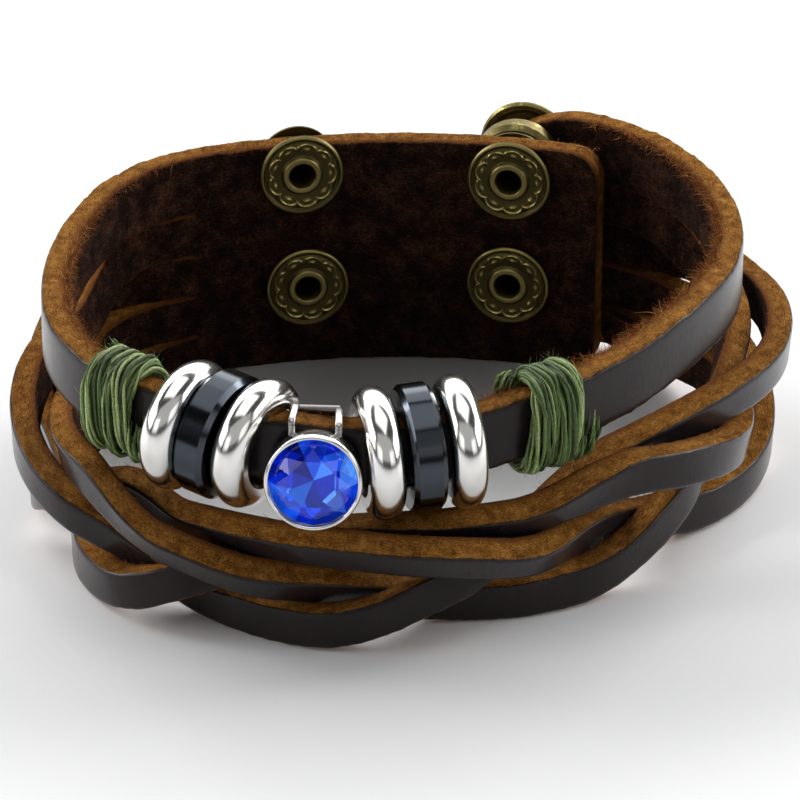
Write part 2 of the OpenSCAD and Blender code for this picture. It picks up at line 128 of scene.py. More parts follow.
class Finish:
    """A material in the making."""

    def __init__(self, name):
        self.material = bpy.data.materials.new("finish_" + name)
        FINISHES[name] = self.material
        self.material.use_nodes = True
        self.tree = self.material.node_tree
        self.tree.nodes.clear()

    def node(self, kind, settings=None, sockets=None, output=0):
        """Adds a node of a kind, with its settings first and then its sockets' values or links."""
        made = self.tree.nodes.new(kind)
        for key, value in (settings or {}).items():
            if key == "stops":
                ramp = made.color_ramp.elements
                while len(ramp) < len(value):
                    ramp.new(0.5)
                for element, (place, colour) in zip(ramp, value):
                    element.position = place
                    element.color = (*colour, 1.0) if len(colour) == 3 else colour
            else:
                setattr(made, key, value)
        for key, value in (sockets or {}).items():
            if isinstance(value, Term):
                self.tree.links.new(value.socket, made.inputs[key])
            else:
                made.inputs[key].default_value = value
        return Term(self, made.outputs[output]) if made.outputs else None

    def attribute(self, name, output="Vector"):
        return self.node("ShaderNodeAttribute", {"attribute_name": name}, {}, output)

    def place(self):
        """Places on the object in millimetres."""
        metres = self.node("ShaderNodeTexCoord", {}, {}, "Object")
        return self.stretched(metres, (1000, 1000, 1000))

    def stretched(self, vector, factors):
        return self.node("ShaderNodeVectorMath", {"operation": "MULTIPLY"}, {0: vector, 1: factors})

    def parts(self, vector):
        """The three numbers of a vector."""
        made = self.node("ShaderNodeSeparateXYZ", {}, {0: vector})
        return [Term(self, out) for out in made.socket.node.outputs]

    def noise(self, vector, scale=1.0, detail=3.0, rough=0.55, bend=0.0):
        return self.node("ShaderNodeTexNoise", {}, {"Vector": vector, "Scale": scale, "Detail": detail,
                                                     "Roughness": rough, "Distortion": bend})

    def cells(self, vector, scale=1.0, feature="F1"):
        return self.node("ShaderNodeTexVoronoi", {"feature": feature}, {"Vector": vector, "Scale": scale})

    def blended(self, first, second, share):
        """The first colour where share is 0 and the second where it is 1."""
        rgba = [c if isinstance(c, Term) else (*c, 1.0) for c in (first, second)]
        return self.node("ShaderNodeMix", {"data_type": "RGBA"}, {0: share, 6: rgba[0], 7: rgba[1]}, 2)

    def ramp(self, value, stops):
        return self.node("ShaderNodeValToRGB", {"stops": stops}, {0: value})

    def bump(self, height, distance=MM):
        return self.node("ShaderNodeBump", {}, {"Strength": 1.0, "Distance": distance, "Height": height})

    def surface(self, **sockets):
        """Closes the tree with the main shader and its output."""
        named = {key.replace("_", " "): value for key, value in sockets.items()}
        shader = self.node("ShaderNodeBsdfPrincipled", {}, named)
        self.node("ShaderNodeOutputMaterial", {}, {0: shader})


def scaled(colour, factor):
    return tuple(min(1.0, c * factor) for c in colour)


def leather_finish(look):
    """Dyed grain outside, tan fibrous cut edges and a dark napped flesh side, told apart by the way a face looks."""
    f = Finish("leather")
    strap = f.attribute("strap")
    out = f.parts(f.attribute("facing"))[2]
    depth = f.parts(strap)[2]
    ragged = f.noise(f.stretched(strap, (1.3, 4.0, 4.0)), 1.0, 4.0, 0.65)
    grain = (out + (ragged - 0.5) * 0.5).rises(0.42, 0.78)
    flesh = ((ragged - 0.5) * 0.8 - out).rises(0.45, 0.85)
    mottle = f.noise(strap, 0.22, 3.0, 0.6)
    wrinkles = f.noise(f.stretched(strap, (2.6, 0.55, 1.0)), 1.0, 5.0, 0.62, 0.6)
    pores = f.cells(f.stretched(strap, (3.4, 2.6, 2.6)), 1.0, "DISTANCE_TO_EDGE")
    face = f.blended(scaled(look.grain, 0.6), scaled(look.grain, 2.2), mottle * wrinkles * 1.7)
    strands = f.noise(f.stretched(strap, (2.4, 13.0, 10.0)), 1.0, 6.0, 0.75, 0.7)
    specks = f.noise(strap, 7.5, 4.0, 0.7)
    tufts = f.noise(strap, 0.8, 3.0, 0.6)
    cut = f.ramp(strands * 0.45 + specks * 0.30 + tufts * 0.25, [
        (0.37, (0.022, 0.006, 0.0015)), (0.44, scaled(look.edge, 0.42)), (0.51, tuple(look.edge)),
        (0.58, (0.58, 0.28, 0.058)), (0.66, (0.78, 0.48, 0.16))])
    fox = f.blended((0.035, 0.009, 0.003), (0.24, 0.070, 0.017), specks)
    reddish = f.blended(cut, fox, (tufts * 1.5 - depth).rises(1.0, 2.0) * 0.85)
    nap = f.noise(f.stretched(strap, (3.0, 5.0, 3.0)), 1.0, 5.0, 0.7, 0.5)
    blotches = f.noise(strap, 0.45, 4.0, 0.68)
    inner = f.ramp(nap * 0.45 + blotches * 0.40 + specks * 0.15, [
        (0.40, scaled(look.flesh, 0.12)), (0.49, scaled(look.flesh, 0.6)), (0.57, scaled(look.flesh, 2.2)),
        (0.66, scaled(look.flesh, 6.0))])
    colour = f.blended(f.blended(reddish, inner, flesh), face, grain)
    height = (grain * (wrinkles * 0.06 + pores * 0.05) + (1 - grain) * (strands * 0.30 + specks * 0.12 + tufts * 0.2)
              + flesh * nap * 0.25)
    turned_away = f.node("ShaderNodeLayerWeight", {}, {"Blend": 0.5}, 1)
    coat = (grain * (1.15 - 0.4 * wrinkles) * (0.30 + 0.95 * turned_away ** 1.6)).clamped()
    f.surface(Base_Color=colour, Roughness=0.9, Normal=f.bump(height), Specular_IOR_Level=0.06,
              Coat_Weight=coat, Coat_Roughness=0.27, Coat_IOR=1.55)


def fibre_finish():
    """Loose fibres, tan to fox red."""
    f = Finish("leather_fibres")
    tone = f.attribute("tone", "Fac")
    colour = f.ramp(tone, [
        (0.0, (0.05, 0.012, 0.003)), (0.5, (0.22, 0.060, 0.013)), (0.85, (0.40, 0.16, 0.035)),
        (1.0, (0.6, 0.34, 0.10))])
    f.surface(Base_Color=colour, Roughness=0.9, Specular_IOR_Level=0.05)


def thread_finish(look):
    """Waxed green cotton with paler fibres. Its dark valleys are painted shade: the colour darkens where the twist
    noise sinks the bump.
    """
    f = Finish("green_thread")
    tone = f.attribute("tone", "Fac")
    lay = f.attribute("lay")
    twist = f.noise(f.stretched(lay, (3.2, 1.0, 1.0)), 1.0, 3.0, 0.6)
    specks = f.noise(f.place(), 4.5, 3.0, 0.65)
    # Tone is each thread's own green. The twist term darkens the grooves that the bump sinks, a painted shade.
    value = tone * 0.42 + twist * 0.36 + specks * 0.3
    colour = f.ramp(value, [
        (0.26, scaled(look.thread, 0.14)), (0.42, scaled(look.thread, 0.6)), (0.56, tuple(look.thread)),
        (0.68, (0.25, 0.34, 0.11)), (0.80, (0.52, 0.58, 0.30))])
    f.surface(Base_Color=colour, Roughness=0.5 + 0.25 * specks, Normal=f.bump(twist * 0.08 + specks * 0.05),
              Specular_IOR_Level=0.45)


def brass_finish(name, colour, wear):
    """Antique plating, dark olive in the hollows and rubbed bright in patches. The raised ribs, dots, rim and collar
    are brightened more, partly as rubbed wear and partly as a painted highlight.
    """
    f = Finish(name)
    place = f.place()
    clouds = f.noise(place, 0.9, 4.0, 0.6)
    grit = f.noise(place, 7.0, 3.0, 0.6)
    raised = f.attribute("raised", "Fac")
    # Noise patches are rubbed wear. The raised attribute adds rubbed wear and a painted highlight on the ridges.
    rubbed_and_highlit = ((clouds * 0.6 + grit * 0.4).rises(0.62 - wear, 0.86 - wear) * 0.7 + raised * 0.9).clamped()
    shade = f.blended(scaled(colour, 0.24), scaled(colour, 1.7), rubbed_and_highlit)
    f.surface(Base_Color=shade, Metallic=1.0, Roughness=0.42 - 0.16 * rubbed_and_highlit, Normal=f.bump(grit * 0.012))


def silver_finish(name, colour, rough):
    """Mirror plating with faint wheel marks."""
    f = Finish(name)
    place = f.place()
    marks = f.noise(f.stretched(place, (0.5, 9.0, 9.0)), 1.0, 4.0, 0.6)
    haze = f.noise(place, 0.35, 3.0, 0.5)
    shade = f.blended(scaled(colour, 0.88), colour, haze)
    f.surface(Base_Color=shade, Metallic=1.0, Roughness=rough + 0.06 * haze * marks,
              Normal=f.bump(marks * 0.0016))


def foil_finish(look):
    """Mirror foil under the stone. Its facet colours, from navy to near-white blue, are painted reflections, and it
    glows faintly with its own colour as painted light.
    """
    f = Finish("stone_foil")
    tone = f.attribute("tone", "Fac")
    colour = f.ramp(tone, [
        (0.0, (0.002, 0.008, 0.16)), (0.35, tuple(look.stone)), (0.7, (0.03, 0.24, 1.0)), (1.0, (0.50, 0.85, 1.0))])
    # The emission is painted light: the foil glows although it is not a lamp.
    f.surface(Base_Color=colour, Metallic=1.0, Roughness=0.07, Emission_Color=colour, Emission_Strength=0.22)


def glass_finish():
    """Clear blue of the stone's crown."""
    f = Finish("stone_glass")
    haze = f.noise(f.place(), 1.3, 2.0, 0.5)
    colour = f.blended((0.50, 0.68, 1.0), (0.68, 0.82, 1.0), haze)
    f.surface(Base_Color=colour, Roughness=0.01 + 0.02 * haze, Transmission_Weight=1.0, IOR=1.62)


def table_finish():
    """Pale paper that the bangle lies on."""
    f = Finish("pale_table")
    tooth = f.noise(f.place(), 0.02, 3.0, 0.5)
    f.surface(Base_Color=f.blended((0.90, 0.90, 0.91), (0.94, 0.94, 0.94), tooth), Roughness=0.55)


def smooth(low, high, x):
    t = np.clip((np.asarray(x, float) - low) / (high - low), 0, 1)
    return t * t * (3 - 2 * t)


def rise_and_fall(run, x):
    """1 between a run's rise and its fall, 0 outside."""
    rise, fall = run
    return smooth(*rise, x) * (1 - smooth(*fall, x))


class Strip:
    """The bent strip's middle line and strands, from the same sizes and tables as the solids."""

    thick, width, top_w = 2.7, 25.0, 6.4
    strand_w, braid_w, pressed_w, slit = 4.5, 4.1, 3.8, 0.15
    back_r, tab_gap, side_r, corner_r, lift_by = 58.0, 5.8, 29.0, 21.0, 1.2
    middle = (0.87, 29.7)
    first_heading, last_heading = 159.0, 533.4
    # Where the slits start along the strip, and the turn of the corner arc in degrees where they end
    slit_start, slit_end_turn = 43.0, 23.6
    # Radius and turn in degrees
    arcs = [(back_r, 40), (18, 49), (51, 28), (21, 56), (35, 62), (49, 27)]
    # Where a strand leaves the others at the first and the last slit end, first its height and then the rest
    moves, bends = ((6, 22), (6, 24)), ((0, 14), (0, 16))
    half_way, rest_play = 120, 0.02
    # Where the beads press the braid flat, and where it drifts outward and inward, each as a rise and a fall
    pressed, drifts_out, drifts_in = ((95, 104), (134, 148)), ((140, 160), (180, 197)), ((50, 66), (82, 94))
    drift_in_by, lift_from = 0.9, 160
    # Distance along the strip, turn of the first strand in degrees, turn per millimetre
    turns = [(slit_start, -22.5, 0.3), (71, 0, 4.4), (92, 90, 4.5), (111, 180, 4.2), (136, 270, 3.6),
             (162, 360, 3.9), (None, 427.5, 1.0)]
    # Height, distance out and lean in degrees every 30 degrees of a turn, for the free braid and under the beads
    swing = np.array([
        (14.0, 2.3, 13, 11.0, 2.6, 33), (13.3, 3.8, 6, 10.9, 4.1, 33), (11.4, 4.4, 2, 9.6, 4.7, 31),
        (9.0, 3.1, 9, 7.3, 3.7, 33), (6.4, 0.3, 14, 5.2, 0.7, 30), (3.4, -0.8, 0, 2.5, -0.5, 10),
        (2.2, 0.9, 0, 2.0, 1.4, 1), (3.0, 2.6, 4, 2.4, 3.4, -4), (6.3, 2.0, -3, 5.1, 2.6, -14),
        (9.5, -0.1, 7, 7.5, 0.1, -10), (11.9, -0.6, 18, 9.5, -0.6, 7), (13.3, 0.5, 18, 10.3, 0.7, 24)])
    # Distance along the strip and height of the top strand's middle
    sag = [(slit_start, 21.8), (78, 21.8), (98, 20.8), (111, 19.5), (124, 18.7), (139, 19.8), (165, 21.6),
           (None, 23.0)]

    def __init__(self):
        centre = -np.array(self.middle)
        rows = [[centre, self.back_r, self.first_heading, self.arcs[0][1], 0.0]]
        for radius, turn in self.arcs[1:]:
            rows.append(self.following(rows[-1], radius, turn))
        outer_r = self.back_r + self.tab_gap
        side = self.following(rows[-1], self.side_r, 0)
        near, far = self.side_r - self.corner_r, outer_r - self.corner_r
        toward = centre - side[0]
        span = np.linalg.norm(toward)
        toward = toward / span
        along = (near ** 2 - far ** 2 + span ** 2) / (2 * span)
        across = math.sqrt(near ** 2 - along ** 2)
        corner_centre = side[0] + along * toward + across * np.array([-toward[1], toward[0]])
        side_end = 360 + self.heading_of((corner_centre - side[0]) / near)
        corner_end = 360 + self.heading_of((corner_centre - centre) / far)
        side[3] = side_end - side[2]
        rows.append(side)
        rows.append(self.following(side, self.corner_r, corner_end - side_end))
        self.slit_end = rows[-1][4] + self.slit_end_turn * self.corner_r * math.pi / 180
        rows.append(self.following(rows[-1], outer_r, self.last_heading - corner_end))
        self.centre, self.outer_r = centre, outer_r
        self.c = np.array([r[0] for r in rows])
        self.r, self.head, self.sweep, self.before = (np.array([r[k] for r in rows], float) for k in (1, 2, 3, 4))
        self.end = self.before[-1] + self.r[-1] * math.radians(self.sweep[-1])
        self.turns = [(self.slit_end if s is None else s, p, q) for s, p, q in self.turns]
        self.sag = [(self.slit_end if s is None else s, z) for s, z in self.sag]

    @staticmethod
    def outward(heading):
        h = np.radians(heading)
        return np.stack([np.sin(h), -np.cos(h)], -1)

    @staticmethod
    def heading_of(u):
        return math.degrees(math.atan2(u[0], -u[1]))

    def following(self, row, radius, turn):
        end = row[2] + row[3]
        centre = row[0] + (row[1] - radius) * self.outward(end)
        return [centre, radius, end, turn, row[4] + row[1] * math.radians(row[3])]

    def heading(self, s):
        i = np.clip(np.searchsorted(self.before, s, side="right") - 1, 0, len(self.r) - 1)
        return i, self.head[i] + (s - self.before[i]) / self.r[i] * 180 / math.pi

    def spot(self, s, out, z):
        """World place, in millimetres, of a distance along the strip, a distance out and a height."""
        s, out, z = np.broadcast_arrays(np.asarray(s, float), out, z)
        i, h = self.heading(s)
        u = self.outward(h)
        p = self.c[i] + (self.r[i] + out)[..., None] * u
        return np.concatenate([p, z[..., None]], -1)

    @staticmethod
    def hermite(a, b, slope_a, slope_b, t):
        return ((2 * t ** 3 - 3 * t * t + 1) * a + (t ** 3 - 2 * t * t + t) * slope_a
                + (3 * t * t - 2 * t ** 3) * b + (t ** 3 - t * t) * slope_b)

    @staticmethod
    def rows_at(table, s):
        """The table's rows before and after a distance along the strip."""
        rows = np.array(table)
        i = np.clip(np.searchsorted(rows[:, 0], s, side="right") - 1, 0, len(rows) - 2)
        return rows[i], rows[i + 1]

    def phase(self, s):
        """Turn of the first strand in degrees."""
        a, b = self.rows_at(self.turns, s)
        run = b[..., 0] - a[..., 0]
        return self.hermite(a[..., 1], b[..., 1], run * a[..., 2], run * b[..., 2], (s - a[..., 0]) / run)

    def swung(self, p, column):
        x = (p % 360) / 30
        i = np.floor(x).astype(int) % 12
        t = x - np.floor(x)
        a, b, c, d = (self.swing[(i + k) % 12, column] for k in (-1, 0, 1, 2))
        return self.hermite(b, c, (c - a) / 2, (d - b) / 2, t)

    def top_height(self, s):
        """Height of the top strand's middle."""
        a, b = self.rows_at(self.sag, s)
        t = np.clip((s - a[..., 0]) / (b[..., 0] - a[..., 0]), 0, 1)
        return a[..., 1] + (b[..., 1] - a[..., 1]) * t * t * (3 - 2 * t)

    def side_height(self, k, end):
        """Height of a strand's middle where it lies beside the others, at the first or last end."""
        level = [math.cos(math.radians(self.turns[end][1] - 90 * j)) for j in range(4)]
        return self.rest_play + self.strand_w / 2 + sum(v < level[k] for v in level) * (self.strand_w + self.slit)

    def strand(self, k, s):
        """Distance out, height, lean in degrees and width of a braid strand."""
        p = self.phase(s) - 90 * k
        squeeze = rise_and_fall(self.pressed, s)
        free, tight = ([self.swung(p, c + shift) for c in (0, 1, 2)] for shift in (0, 3))
        height, out, lean = (a + (b - a) * squeeze for a, b in zip(free, tight))

        first_half = s < self.half_way

        def leaving(left, right):
            return np.where(first_half, smooth(*left, s - self.slit_start), smooth(*right, self.slit_end - s))

        side = np.where(first_half, self.side_height(k, 0), self.side_height(k, -1))
        drift = rise_and_fall(self.drifts_out, s) - self.drift_in_by * rise_and_fall(self.drifts_in, s)
        z = side + (height - side) * leaving(*self.moves) + self.lift_by * smooth(self.lift_from, self.slit_end, s)
        braided = self.braid_w + (self.pressed_w - self.braid_w) * squeeze
        w = self.strand_w + (braided - self.strand_w) * leaving(*self.moves)
        return leaving(*self.bends) * (out + drift), z, leaving(*self.bends) * lean, w


STRIP = Strip()


def wander(x, seed, longest=9.0, terms=5):
    """A seeded wavy value of about -1 to 1."""
    rng = random.Random(seed)
    total = 0
    for k in range(terms):
        wave = longest / (1.7 ** k) * rng.uniform(0.85, 1.15)
        total = total + np.sin(np.asarray(x) * 2 * math.pi / wave + rng.uniform(0, 6.28)) * 0.6 / (1.35 ** k)
    return total


def outline(w, t, corner, spacing=0.42):
    """A rounded rectangle's points and their outward normals, width up and thickness outward."""
    points, normals = [], []
    for start, sx, sy, side in ((-90, 1, -1, w), (0, 1, 1, t), (90, -1, 1, w), (180, -1, -1, t)):
        for step in range(4):
            a = math.radians(start + step * 30)
            points.append((sx * (t / 2 - corner) + corner * math.cos(a), sy * (w / 2 - corner) + corner * math.sin(a)))
            normals.append((math.cos(a), math.sin(a)))
        count = max(3, round(side / spacing))
        a = math.radians(start + 90)
        p = points[-1]
        span = side - 2 * corner
        way = (-math.sin(a), math.cos(a))
        for step in range(1, count):
            points.append((p[0] + way[0] * span * step / count, p[1] + way[1] * span * step / count))
            normals.append((math.cos(a), math.sin(a)))
    return np.array(points), np.array(normals)


def new_piece(name, points, faces, finish, replaces=(), attributes=None, flat=False):
    """A mesh object in metres from points in millimetres, riding on the body. Nothing goes below the table."""
    mesh = bpy.data.meshes.new(name)
    points = np.array(points, float)
    points[:, 2] = np.maximum(points[:, 2], 0)
    mesh.from_pydata((points * MM).tolist(), [], faces if isinstance(faces, list) else faces.tolist())
    for key, values in (attributes or {}).items():
        values = np.asarray(values, np.float32)
        kind, field = ("FLOAT_VECTOR", "vector") if values.ndim == 2 else ("FLOAT", "value")
        domain = "POINT" if len(values) == len(mesh.vertices) else "FACE"
        mesh.attributes.new(key, kind, domain).data.foreach_set(field, values.ravel())
    mesh.validate()
    if not flat:
        mesh.polygons.foreach_set("use_smooth", [True] * len(mesh.polygons))
        mesh.set_sharp_from_angle(angle=math.radians(52))
    for one in finish if isinstance(finish, list) else [finish]:
        mesh.materials.append(one)
    piece = bpy.data.objects.new(name, mesh)
    bpy.context.scene.collection.objects.link(piece)
    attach(piece, BODY)
    if replaces:
        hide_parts(*replaces)
    return piece


def sleeve(rings, columns, joined=False):
    """Quads between rings of points, each ring running round. Joined, the last ring meets the first."""
    i, j = np.meshgrid(np.arange(rings if joined else rings - 1), np.arange(columns), indexing="ij")
    i2, j2 = (i + 1) % rings, (j + 1) % columns
    return np.stack([i * columns + j, i * columns + j2, i2 * columns + j2, i2 * columns + j], -1).reshape(-1, 4)


def capped(rings, columns):
    first = list(range(columns))[::-1]
    last = [(rings - 1) * columns + j for j in range(columns)]
    return [first] + sleeve(rings, columns).tolist() + [last]


def worn(section, normals, s, seed, size):
    """Lets the cut edges of a section wander a little along the strip."""
    points = np.repeat(section[None], len(s), 0).copy()
    up = wander(s, seed)[:, None] * size * np.clip(normals[:, 1], 0, 1)
    down = wander(s, seed + 1)[:, None] * size * np.clip(-normals[:, 1], 0, 1)
    fine = wander(s[:, None] + points[..., 0] * 1.7, seed + 2, 1.9, 4) * size * 0.6 * np.abs(normals[:, 1])
    points[..., 1] += up - down + fine * np.sign(normals[:, 1])
    return points


SECTION_W = 4.4


def strand_rings(s, out, z, lean, width, grown, seed, sizes):
    """World points, strap places and facings of a leather strand's sections. Grown is the hide's height there."""
    section, normals = outline(SECTION_W, STRIP.thick, sizes.corner)
    scale = np.asarray(width) / SECTION_W
    points = worn(section, normals, s, seed, sizes.waviness)
    x, y = points[..., 0], points[..., 1] * scale[:, None]
    s, out, z, a, grown = (np.asarray(v)[:, None] for v in (s, out, z, np.radians(lean), grown))
    world = STRIP.spot(s, out + x * np.cos(a) + y * np.sin(a), z + y * np.cos(a) - x * np.sin(a))
    strap = np.stack([np.broadcast_to(s, x.shape), y + grown, x], -1)
    facing = np.stack([np.broadcast_to(v, x.shape) for v in (0.0, normals[:, 1], normals[:, 0])], -1)
    return world, strap, facing


class BANGLE_OT_leather_strands(bpy.types.Operator):
    """Make the top strand and the four strands of the braid"""

    bl_idname = "bangle.leather_strands"
    bl_label = "Leather Strands"

    def execute(self, context):
        sizes, finish = context.scene.bangle_sizes, FINISHES["leather"]
        count = int((STRIP.slit_end - STRIP.slit_start) / sizes.ring_step) + 1
        s = np.linspace(STRIP.slit_start, STRIP.slit_end, count)
        straight = np.zeros_like(s)
        top_side = np.full_like(s, STRIP.width - STRIP.top_w / 2)
        runs = {"top_strand": (straight, STRIP.top_height(s), straight, np.full_like(s, STRIP.top_w), top_side)}
        for k in range(4):
            first, last = STRIP.side_height(k, 0), STRIP.side_height(k, -1)
            runs[f"braid_strand_{k + 1}"] = (*STRIP.strand(k, s), first + (last - first) * smooth(90, 150, s))
        for seed, (name, run) in enumerate(runs.items()):
            world, strap, facing = strand_rings(s, *run, seed * 7 + 3, sizes)
            rings, columns = world.shape[:2]
            new_piece(f"leather_{name}", world.reshape(-1, 3), capped(rings, columns), finish, [name],
                      {"strap": strap.reshape(-1, 3), "facing": facing.reshape(-1, 3)})
        return {"FINISHED"}


SNAPS = [(11.7, 21.3), (11.7, 9.4), (-10.2, 21.9), (-9.7, 9.0)]


class BANGLE_OT_leather_tabs(bpy.types.Operator):
    """Make the two uncut ends of the strip, with their rounded corners and punched holes"""

    bl_idname = "bangle.leather_tabs"
    bl_label = "Leather Tabs"
    step, rounding, hole_r, punch_depth = 0.5, 3.0, 2.05, 8

    def slab(self, s, height, rise, seed, sizes):
        """Rings of a flat piece in strap space: along, up and out."""
        thick = STRIP.thick / 2
        across, through = np.linspace(-1, 1, int(STRIP.width / self.step) + 1), np.linspace(-1, 1, 7)
        rows = []
        for here, h in zip(s, height):
            half = max(h / 2, 0.02)
            bend = min(sizes.corner, half * 0.9)
            face, side = across * (half - bend), through * (thick - bend)
            flats = ([(thick, v) for v in face], [(-v, half) for v in side],
                     [(-thick, -v) for v in face], [(v, -half) for v in side])
            ring = []
            for quarter, (flat, x, y) in enumerate(zip(flats, (1, -1, -1, 1), (1, 1, -1, -1))):
                ring += flat
                for a in np.radians([90 * quarter + 30, 90 * quarter + 60]):
                    ring.append((x * (thick - bend) + bend * math.cos(a), y * (half - bend) + bend * math.sin(a)))
            ring = np.array(ring)
            rows.append(np.stack([np.full(len(ring), here), ring[:, 1] + STRIP.width / 2 + rise, ring[:, 0]], -1))
        rows = np.array(rows)
        up = rows[..., 1] - STRIP.width / 2 - rise
        edge = smooth(0.75, 1.0, np.abs(up) / (np.asarray(height)[:, None] / 2 + 1e-6))
        waves = wander(rows[..., 0] + rows[..., 2] * 1.7, seed, 6.0)
        rows[..., 1] += edge * np.sign(up) * (waves - 0.6) * sizes.waviness * 0.7
        return rows

    def tab(self, name, rows, holes, finish):
        rings, columns = rows.shape[:2]
        flat = bpy.data.meshes.new(name)
        flat.from_pydata(rows.reshape(-1, 3).tolist(), [], capped(rings, columns))
        body = bpy.data.objects.new(name, flat)
        bpy.context.scene.collection.objects.link(body)
        cutter = bmesh.new()
        for along, up in holes:
            made = bmesh.ops.create_cone(cutter, cap_ends=True, segments=40, radius1=self.hole_r, radius2=self.hole_r,
                                         depth=self.punch_depth)
            bmesh.ops.translate(cutter, verts=made["verts"], vec=(along, up, 0))
        punch_mesh = bpy.data.meshes.new("punch")
        cutter.to_mesh(punch_mesh)
        cutter.free()
        punch = bpy.data.objects.new("punch", punch_mesh)
        bpy.context.scene.collection.objects.link(punch)
        cut = body.modifiers.new("holes", "BOOLEAN")
        cut.operation, cut.solver, cut.object = "DIFFERENCE", "EXACT", punch
        cut_mesh = bpy.data.meshes.new_from_object(body.evaluated_get(bpy.context.evaluated_depsgraph_get()))
        for used in (body, punch):
            bpy.data.objects.remove(used)
        work = bmesh.new()
        work.from_mesh(cut_mesh)
        bmesh.ops.triangulate(work, faces=[face for face in work.faces if len(face.verts) > 4])
        work.normal_update()
        strap = np.array([v.co[:] for v in work.verts])
        facing = np.array([v.normal[:] for v in work.verts])
        faces = [[v.index for v in face.verts] for face in work.faces]
        work.free()
        joint = (np.abs(strap[:, 0] - STRIP.slit_start) < 0.02) | (np.abs(strap[:, 0] - STRIP.slit_end) < 0.02)
        facing[joint, 0] = 0
        facing[joint] /= np.linalg.norm(facing[joint], axis=1)[:, None] + 1e-9
        world = STRIP.spot(strap[:, 0], strap[:, 2], strap[:, 1])
        new_piece(f"leather_{name}", world, faces, finish, [name], {"strap": strap, "facing": facing})

    def execute(self, context):
        sizes, finish = context.scene.bangle_sizes, FINISHES["leather"]
        rounding, half = self.rounding, STRIP.width / 2
        start = rounding * (1 - np.cos(np.radians(np.linspace(0, 90, 9))))
        s = np.concatenate([start, np.arange(rounding + self.step, STRIP.slit_start, self.step), [STRIP.slit_start]])
        cut = rounding - np.sqrt(np.maximum(0, rounding ** 2 - (rounding - s) ** 2))
        height = np.where(s < rounding, STRIP.width - 2 * cut, STRIP.width)
        holes = [((180 - a - STRIP.first_heading) * math.pi / 180 * STRIP.back_r, z) for a, z in SNAPS]
        self.tab("inner_tab", self.slab(s, height, 0, 11, sizes), holes, finish)
        close = STRIP.end - half + half * np.cos(np.radians(np.linspace(90, 3, 22)))
        s = np.concatenate([np.arange(STRIP.slit_end, close[0] - self.step / 2, self.step), close])
        d = np.clip(s - (STRIP.end - half), 0, half)
        height = 2 * np.sqrt(np.maximum(half ** 2 - d ** 2, 0.0))
        holes = [(STRIP.before[-1] + (540 - a - STRIP.head[-1]) * math.pi / 180 * STRIP.outer_r, z)
                 for a, z in SNAPS[:2]]
        self.tab("outer_tab", self.slab(s, height, STRIP.lift_by, 17, sizes), holes, finish)
        return {"FINISHED"}


THIRD_TURN = 2.094


def hair(base, way, curl, reach, thick, start):
    """Points and faces of one thin curling hair, its points numbered from start."""
    points = []
    for step in range(4):
        t = step / 3
        p = np.array(base) + reach * (way * t + curl * t * t * 0.6)
        r = thick * (1 - 0.75 * t)
        for corner in range(3):
            a = corner * THIRD_TURN
            points.append((p[0] + r * math.cos(a), p[1] + r * math.sin(a), p[2] + r * 0.4 * math.cos(a + 1)))
    faces = [[start + 2, start + 1, start], [start + 9, start + 10, start + 11]]
    for step in range(3):
        for corner in range(3):
            a, b = start + step * 3 + corner, start + step * 3 + (corner + 1) % 3
            faces.append([a, b, b + 3, a + 3])
    return points, faces


class BANGLE_OT_leather_fibres(bpy.types.Operator):
    """Scatter loose fibres along the cut edges, thickest at the top strand's inner edge"""

    bl_idname = "bangle.leather_fibres"
    bl_label = "Leather Fibres"
    shares = {"leather_fuzz_inner_edge": 0.62, "leather_fuzz_tab": 0.12, "leather_fuzz_braid": 0.26}
    # Distances along the strip where the inner edge is fuzziest, each with its spread
    fuzziest = ((76, 10), (158, 14), (184, 12))

    def execute(self, context):
        rng = random.Random(21)
        total = context.scene.bangle_sizes.fibres
        for name, share in self.shares.items():
            points, faces, tones = [], [], []
            for _ in range(int(total * share)):
                inward, low = 0.0, 0.2
                if name == "leather_fuzz_inner_edge":
                    s = rng.choice([rng.gauss(*spot) for spot in self.fuzziest] + [rng.uniform(46, 203)])
                    s = min(max(s, 44), 204)
                    across = -1.34 + abs(rng.gauss(0, 0.30))
                    drop = 0.4 * max(0, -across - 0.95) + 0.6 * rng.random() ** 2
                    base = (s, across, float(STRIP.top_height(s)) + 3.17 - drop)
                    inward, low = 0.55, 0.3
                    high = 0.8 if rng.random() < 0.88 else 1.4
                elif name == "leather_fuzz_tab":
                    base = (rng.uniform(0.5, 42), rng.uniform(-1.3, 0.8), 24.95)
                    high = 0.5
                else:
                    k = rng.randrange(4)
                    s = rng.uniform(52, 198)
                    out, z, lean, w = (float(v) for v in STRIP.strand(k, np.array(s)))
                    a = math.radians(lean)
                    x, y = rng.uniform(-1.2, 1.1), w / 2 - 0.03
                    base = (s, out + x * math.cos(a) + y * math.sin(a), z + y * math.cos(a) - x * math.sin(a))
                    high = 0.5
                way = np.array([rng.gauss(0, 0.8), rng.gauss(-0.1 - inward, 0.5), abs(rng.gauss(0.3, 0.3)) + 0.05])
                curl = np.array([rng.gauss(0, 1.3), rng.gauss(0, 1.0), rng.gauss(-0.3, 0.9)])
                more, more_faces = hair(base, way / np.linalg.norm(way), curl, rng.uniform(low, high),
                                        rng.uniform(0.02, 0.042), len(points))
                tones += [rng.random()] * len(more)
                points += more
                faces += more_faces
            new_piece(name, STRIP.spot(*np.array(points).T), faces, FINISHES["leather_fibres"], (),
                      {"tone": tones})
        return {"FINISHED"}


